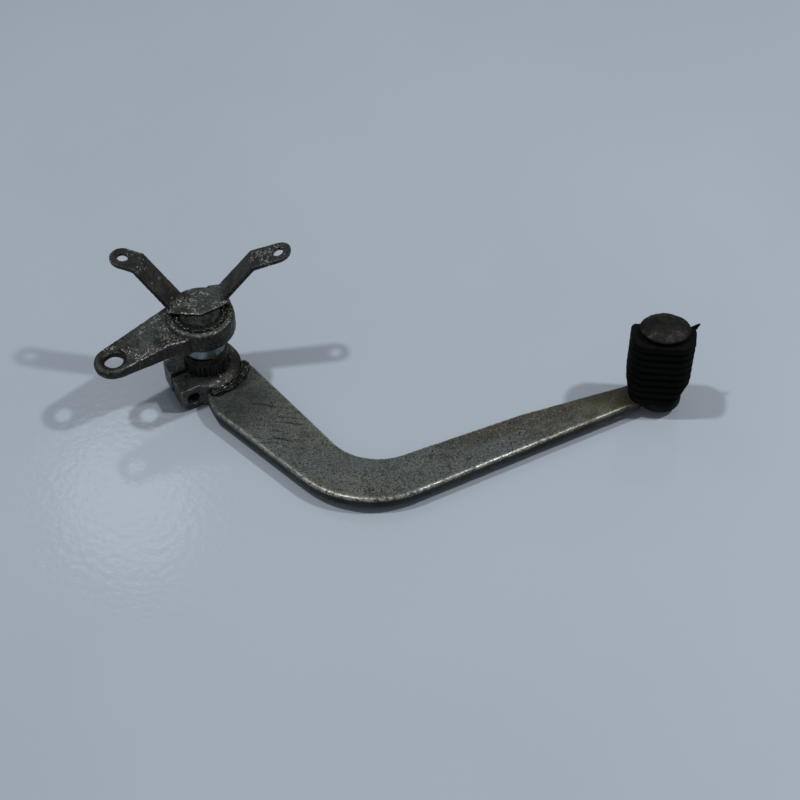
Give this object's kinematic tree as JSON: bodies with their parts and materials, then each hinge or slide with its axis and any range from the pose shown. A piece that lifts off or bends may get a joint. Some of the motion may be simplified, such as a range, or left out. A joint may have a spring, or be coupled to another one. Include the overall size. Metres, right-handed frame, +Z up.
{
  "type": "rear brake pedal",
  "caption": "Bent steel rear brake pedal with a ribbed peg rubber, a split clamp hub on a serrated pivot shaft, a forged brake lever and a drilled bracket.",
  "frame": {"origin": "the pivot axis where it meets the hub's lower face, which is the height the part rests on", "axes": "+Z up along the pivot axis from the clamp hub to the brake lever, +X across towards the foot peg"},
  "size_m": [0.2534, 0.0918, 0.0668],
  "materials": {
    "forged_steel": "worn",
    "worn_zinc": "worn",
    "lever_steel": "pitted",
    "strap_steel": "pitted",
    "weld": "rough",
    "head_steel": "hammered",
    "rubber": "matte"
  },
  "bodies": {
    "root": {"pedal_arm": "forged_steel", "clamp_hub": "forged_steel", "hub_weld": "weld", "pivot_shaft": "worn_zinc", "brake_lever": "lever_steel", "shaft_weld": "weld", "switch_bracket": "strap_steel", "bracket_weld": "weld", "foot_peg": "head_steel", "peg_rubber": "rubber"}
  },
  "joints": []
}
